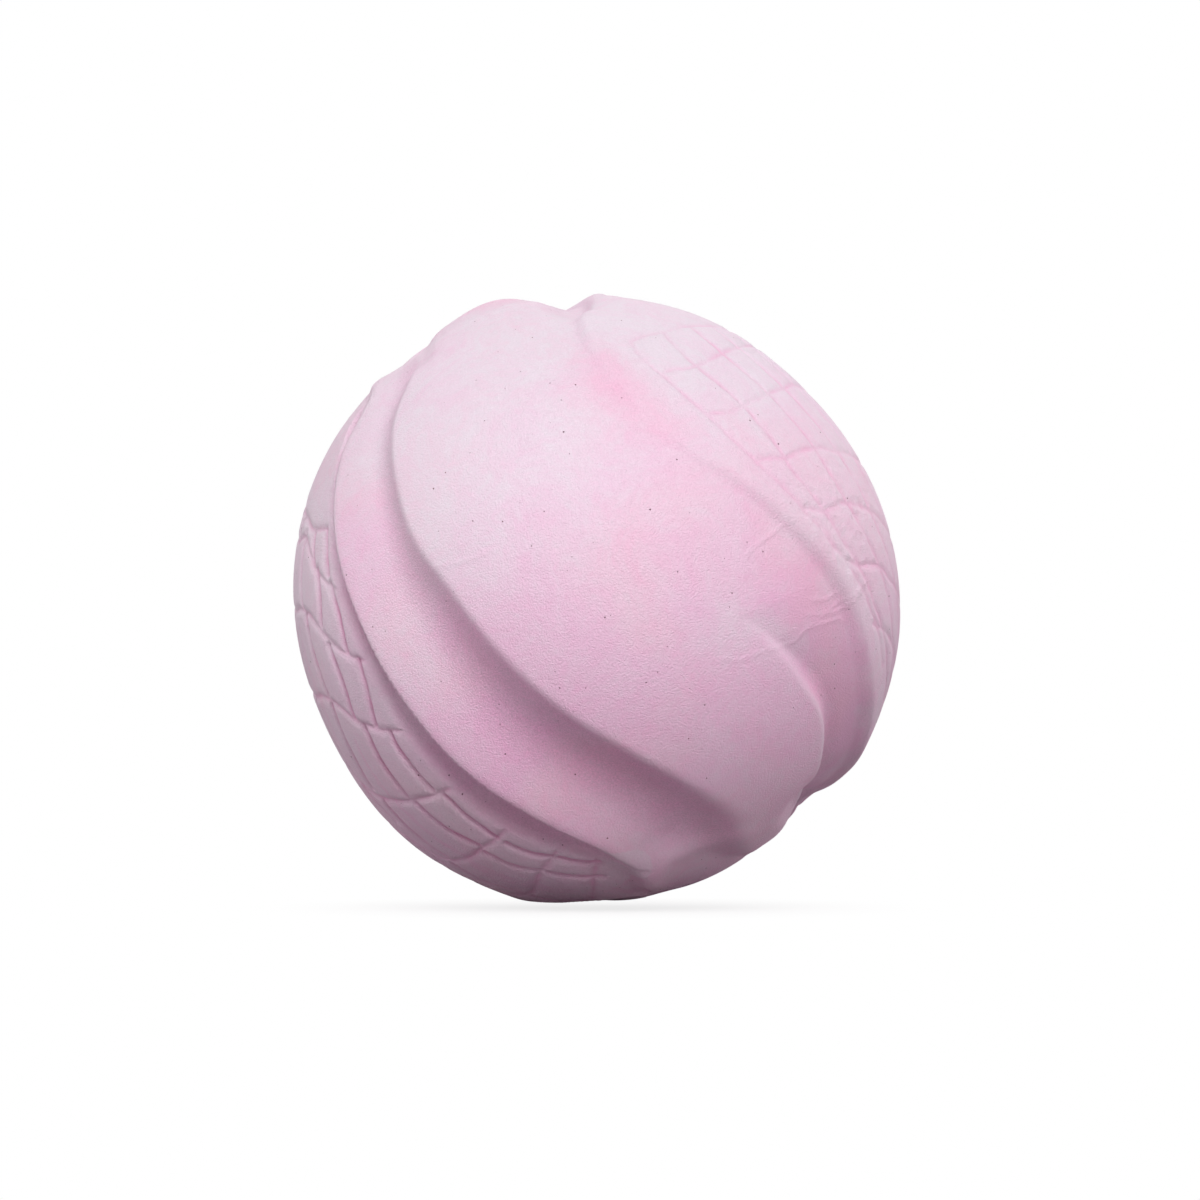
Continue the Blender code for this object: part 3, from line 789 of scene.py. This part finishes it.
# The net is faint by a lobe's west crest and strong by its east edge, where its joints are not
# as deep as its long lines.
west = add(tree, "ShaderNodeMath",
           {0: near["front", "net"]["Away"], 1: near["back", "net"]["Away"]},
           operation="MINIMUM")
east = add(tree, "ShaderNodeMath",
           {0: near["front", "band"]["Away"], 1: near["back", "band"]["Away"]},
           operation="MINIMUM")
across = add(tree, "ShaderNodeMath", {0: west, 1: east}, operation="ADD")
across = add(tree, "ShaderNodeMath", {0: west, 1: across}, operation="DIVIDE")
force = add(tree, "ShaderNodeMapRange",
            {0: across, 1: NET_ACROSS[0], 2: NET_ACROSS[1], 3: NET_FAINT, 4: NET_STRONG},
            interpolation_type="SMOOTHSTEP")
force = add(tree, "ShaderNodeMath", {0: force, 1: left["net"]}, operation="MULTIPLY")
joint_force = add(tree, "ShaderNodeMapRange",
                  {0: across, 1: NET_ACROSS[0], 2: NET_ACROSS[1], 3: 1.0, 4: JOINT_SHARE})
netted = []
for lines in (bells, bricks):
    joint = add(tree, "ShaderNodeMath", {0: lines["Joints"], 1: joint_force},
                operation="MULTIPLY")
    netted.append(add(tree, "ShaderNodeMath", {0: lines["Net"], 1: joint},
                      operation="MAXIMUM"))
line, brick = netted

# Grooves stop short of the net's edge, and bricks round off to nothing over the strip.
clear = add(tree, "ShaderNodeMapRange",
            {0: rim, 1: GROOVE_STOP[0], 2: GROOVE_STOP[1], 3: 0.0, 4: 1.0},
            interpolation_type="SMOOTHSTEP")
clear = add(tree, "ShaderNodeMath", {0: clear, 1: force}, operation="MULTIPLY")
off_strip = add(tree, "ShaderNodeMath", {0: 1.0, 1: strip}, operation="SUBTRACT")
clear = add(tree, "ShaderNodeMath", {0: clear, 1: off_strip}, operation="MULTIPLY")
groove = add(tree, "ShaderNodeMath", {0: line, 1: clear}, operation="MULTIPLY")
brick = add(tree, "ShaderNodeMath", {0: brick, 1: force}, operation="MULTIPLY")
brick = add(tree, "ShaderNodeMath", {0: brick, 1: strip}, operation="MAXIMUM")
# Painted highlight, paler, on the bricks' backs near the net's long lines.
reached = add(tree, "ShaderNodeMath", {0: reach["Net"], 1: BRICK_BACK_REACH},
              operation="LESS_THAN")
bar = add(tree, "ShaderNodeMath", {0: force, 1: brick}, operation="SUBTRACT")
bar = add(tree, "ShaderNodeMath", {0: bar, 1: reached}, operation="MULTIPLY", use_clamp=True)
sunk = add(tree, "ShaderNodeMapRange", {0: rim, 1: 0.0, 2: STRIP_SLOPE, 3: 0.0, 4: 1.0},
           interpolation_type="SMOOTHSTEP")
sunk = add(tree, "ShaderNodeMath", {0: sunk, 1: strip}, operation="MULTIPLY")
for form, depth in ((groove, "Groove depth"), (brick, "Brick depth"), (sunk, "Strip depth")):
    drop = add(tree, "ShaderNodeMath", {0: form, 1: get[depth], 2: drop},
               operation="MULTIPLY_ADD")

# The front netted lobe is crumpled by its west crest, about halfway down.
crumple = add(tree, "ShaderNodeTexNoise",
              {"Vector": wandering, "Scale": 1 / CRUMPLE_SIZE, "Detail": 1.0})
crumple = add(tree, "ShaderNodeMapRange", {0: crumple, 1: 0.3, 2: 0.7, 3: -0.5, 4: 0.5})
away = add(tree, "ShaderNodeVectorMath", {0: spot, 1: heading(*CRUMPLE_PLACE)},
           operation="DISTANCE")
there = add(tree, "ShaderNodeMapRange",
            {0: away.outputs["Value"], 1: CRUMPLE_REACH[0], 2: CRUMPLE_REACH[1], 3: 1.0,
             4: 0.0}, interpolation_type="SMOOTHSTEP")
start = add(tree, "ShaderNodeMapRange", {0: west, 1: 0.0, 2: CRUMPLE_START, 3: 0.0, 4: 1.0})
lobe = add(tree, "ShaderNodeMath", {0: near["front", "net"]["East"], 1: 0.0},
           operation="GREATER_THAN")
for factor in (there, start, lobe):
    crumple = add(tree, "ShaderNodeMath", {0: crumple, 1: factor}, operation="MULTIPLY")
drop = add(tree, "ShaderNodeMath", {0: crumple, 1: get["Crumple"], 2: drop},
           operation="MULTIPLY_ADD")

# Folds and the ridge stand up, and the valleys by the poles are sunk.
for name, rise in (("Folds", "Fold height"), ("Ridges", "Ridge height")):
    rise = add(tree, "ShaderNodeMath", {0: bells[name], 1: get[rise]}, operation="MULTIPLY")
    drop = add(tree, "ShaderNodeMath", {0: drop, 1: rise}, operation="SUBTRACT")
for name, (width, depth, path) in valley_lines.items():
    drop = add(tree, "ShaderNodeMath", {0: bells[name], 1: depth, 2: drop},
               operation="MULTIPLY_ADD")

# The rubber's colours need to know where the forms are: painted shade on the walls and the sunk
# strip, a painted highlight on the crests and the bricks' backs, and the pressed grooves.
low = add(tree, "ShaderNodeMath", {0: sunk, 1: STRIP_SHADE}, operation="MULTIPLY")
wall = add(tree, "ShaderNodeMath", {0: wall, 1: low}, operation="MAXIMUM")
for name, value in (("groove", groove), ("crest", crest_highlight), ("wall", wall), ("bar", bar)):
    ball = add(tree, "GeometryNodeStoreNamedAttribute",
               {"Geometry": ball, "Name": name, "Value": value}, data_type="FLOAT")
radius = add(tree, "ShaderNodeMath", {0: get["Crest radius"], 1: drop}, operation="SUBTRACT")
pressed = add(tree, "ShaderNodeVectorMath", {0: spot, "Scale": radius}, operation="SCALE")
ball = add(tree, "GeometryNodeSetPosition", {"Geometry": ball, "Position": pressed})
ball = add(tree, "GeometryNodeSetShadeSmooth", {"Geometry": ball})
ball = add(tree, "GeometryNodeRealizeInstances", {"Geometry": ball})
ball = add(tree, "GeometryNodeSetMaterial", {"Geometry": ball, "Material": get["Rubber"]})
tree.links.new(ball.outputs[0], group_out.inputs[0])

net = line_mesh("net_lines", [*NET_LINES, NET_EDGE], (0, 180))
joints = line_mesh("net_joints", NET_JOINTS, (0, 180))
folds = line_mesh("fold_lines", FOLDS, (0,))
ridges = line_mesh("ridge_lines", RIDGES, (0, 180))
valleys = {name: line_mesh("valley_line", (path,), (0,))
           for name, (width, depth, path) in valley_lines.items()}
whole = grow("moulded_skin", tree, {
    "Crest radius": CREST_RADIUS, "Step depth": STEP_DEPTH, "Cuts": CUTS, "Net": net,
    "Joints": joints, "Folds": folds, "Ridges": ridges, "Groove width": GROOVE_WIDTH,
    "Groove depth": GROOVE_DEPTH, "Brick round": BRICK_ROUND, "Brick depth": BRICK_DEPTH,
    "Strip depth": STRIP_DEPTH, "Fold width": FOLD_WIDTH, "Fold height": FOLD_HEIGHT,
    "Ridge width": RIDGE_WIDTH, "Ridge height": RIDGE_HEIGHT, "Crumple": CRUMPLE_DEPTH,
    **valleys})
for lines in (net, joints, folds, ridges, *valleys.values()):
    bpy.data.objects.remove(lines)

# Each half keeps its side of the joint and is closed by a rim and a round bowl for the core.
for name, side, node, slot in (
        ("moulded_upper_skin", 1, "upper_skin_half", "pale_skin_rubber"),
        ("moulded_lower_skin", -1, "lower_skin_half", "pink_skin_rubber")):
    half = bmesh.new()
    half.from_mesh(whole)
    beyond = [f for f in half.faces if f.calc_center_median().z * side < 0]
    bmesh.ops.delete(half, geom=beyond, context="FACES")
    bowl = bmesh.new()
    bmesh.ops.create_uvsphere(bowl, u_segments=BOWL_SEGMENTS, v_segments=BOWL_SEGMENTS // 2,
                              radius=BOWL_RADIUS)
    beyond = [f for f in bowl.faces if f.calc_center_median().z * side < 0]
    bmesh.ops.delete(bowl, geom=beyond, context="FACES")
    for vert in bowl.verts:
        if abs(vert.co.z) < 1e-6:
            vert.co.z = side * JOINT_GAP / 2
    bmesh.ops.reverse_faces(bowl, faces=bowl.faces)
    inside = bpy.data.meshes.new("bowl")
    bowl.to_mesh(inside)
    bowl.free()
    half.from_mesh(inside)
    bpy.data.meshes.remove(inside)
    open_edges = [e for e in half.edges if e.is_boundary]
    bmesh.ops.bridge_loops(half, edges=open_edges)
    for edge in open_edges:
        edge.smooth = False
    bmesh.ops.recalc_face_normals(half, faces=half.faces)
    for face in half.faces:
        face.smooth = True
    half.transform(Matrix.Rotation(radians(-AXIS_LEAN), 4, "Y"))
    mesh = bpy.data.meshes.new(name)
    half.to_mesh(mesh)
    half.free()
    mesh.materials.clear()
    mesh.materials.append(foam_rubber(slot))
    dress(name, mesh, node)
bpy.data.meshes.remove(whole)


# Floor: a plain pale sheet of paper under the ball. It shows white to the camera away from the
# ball, as the photograph's background does, and keeps the ball's soft shadow. It sends back
# less light than it shows, so that the ball's underside keeps its shade.
FLOOR_SIZE = 1.6
FLOOR_COLOUR = "#E8E6E7"
FLOOR_BOUNCE = "#949294"
FLOOR_ROUGHNESS = 0.9
SHADOW_REACH = (0.004, 0.04)
SHADOW_WHITE = 0.80
floor_mesh = bpy.data.meshes.new("floor")
corner = FLOOR_SIZE / 2
floor_mesh.from_pydata([(-corner, -corner, cad_low.z), (corner, -corner, cad_low.z),
                        (corner, corner, cad_low.z), (-corner, corner, cad_low.z)],
                       [], [(0, 1, 2, 3)])
floor = bpy.data.objects.new("floor", floor_mesh)
bpy.context.scene.collection.objects.link(floor)
paper = bpy.data.materials.new("white_paper")
paper.use_nodes = True
tree = paper.node_tree
shader = tree.nodes["Principled BSDF"]
rays = add(tree, "ShaderNodeLightPath")
tone = add(tree, "ShaderNodeMix", {0: rays.outputs["Is Camera Ray"], 6: dye(FLOOR_BOUNCE),
                                   7: dye(FLOOR_COLOUR)}, data_type="RGBA")
tree.links.new(tone.outputs[2], shader.inputs["Base Color"])
shader.inputs["Roughness"].default_value = FLOOR_ROUGHNESS
place = add(tree, "ShaderNodeTexCoord").outputs["Object"]
away = add(tree, "ShaderNodeVectorMath", {0: place, 1: (0, 0, cad_low.z)}, operation="DISTANCE")
fade = add(tree, "ShaderNodeMapRange",
           {0: away.outputs["Value"], 1: SHADOW_REACH[0], 2: SHADOW_REACH[1],
            3: SHADOW_WHITE, 4: 1.0}, interpolation_type="SMOOTHSTEP")
fade = add(tree, "ShaderNodeMath", {0: fade, 1: rays.outputs["Is Camera Ray"]},
           operation="MULTIPLY")
white = add(tree, "ShaderNodeEmission", {"Color": (1, 1, 1, 1), "Strength": 1.0})
mixed = add(tree, "ShaderNodeMixShader", {0: fade, 1: shader, 2: white})
tree.links.new(mixed.outputs[0], tree.nodes["Material Output"].inputs["Surface"])
floor_mesh.materials.append(paper)
floor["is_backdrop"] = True


# Light: a broad soft box above the front, one at each side a little behind the ball, a weak one
# above the back, and a pale room that only the camera and reflections see in full.
ROOM_LIGHT = 0.02


def soft_box(name, place, size, power):
    """A square area lamp that faces the ball."""
    lamp = bpy.data.lights.new(name, "AREA")
    lamp.shape = "SQUARE"
    lamp.size = size
    lamp.energy = power
    box = bpy.data.objects.new(name, lamp)
    box.location = place
    box.rotation_euler = (-Vector(place)).to_track_quat("-Z", "Y").to_euler()
    bpy.context.scene.collection.objects.link(box)


soft_box("front_soft_box", (0.05, -0.60, 0.43), 0.55, 6.25)
soft_box("left_soft_box", (-0.70, 0.20, 0.10), 0.6, 2.9)
soft_box("right_soft_box", (0.62, 0.36, 0.12), 0.6, 2.8)
soft_box("back_soft_box", (0, 0.53, 0.53), 0.5, 1.4)
world = bpy.data.worlds.new("pale_room")
bpy.context.scene.world = world
world.use_nodes = True
tree = world.node_tree
room = tree.nodes["Background"]
room.inputs["Color"].default_value = (1, 1, 1, 1)
rays = add(tree, "ShaderNodeLightPath")
seen = add(tree, "ShaderNodeMath", {0: rays.outputs["Is Camera Ray"],
                                    1: rays.outputs["Is Glossy Ray"]}, operation="MAXIMUM")
level = add(tree, "ShaderNodeMapRange", {0: seen, 1: 0.0, 2: 1.0, 3: ROOM_LIGHT, 4: 1.0})
tree.links.new(level.outputs[0], room.inputs["Strength"])


# Camera: a long lens straight at the front, framed as the photograph is, with the ball a hair
# off the middle.
DISTANCE = 1.0
FRAME_WIDTH = 0.1283
SENSOR_MM = 36
CAMERA_RIGHT = 0.00067
CAMERA_DOWN = 0.00013
camera = bpy.data.objects.new("camera", bpy.data.cameras.new("camera"))
camera.data.sensor_width = SENSOR_MM
camera.data.lens = SENSOR_MM * DISTANCE / FRAME_WIDTH
camera.data.clip_start = 0.01
camera.location = (CAMERA_RIGHT, -DISTANCE, -CAMERA_DOWN)
camera.rotation_euler = (radians(90), 0, 0)
bpy.context.scene.collection.objects.link(camera)
bpy.context.scene.camera = camera
bpy.context.scene.view_settings.view_transform = "Standard"

low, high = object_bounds()
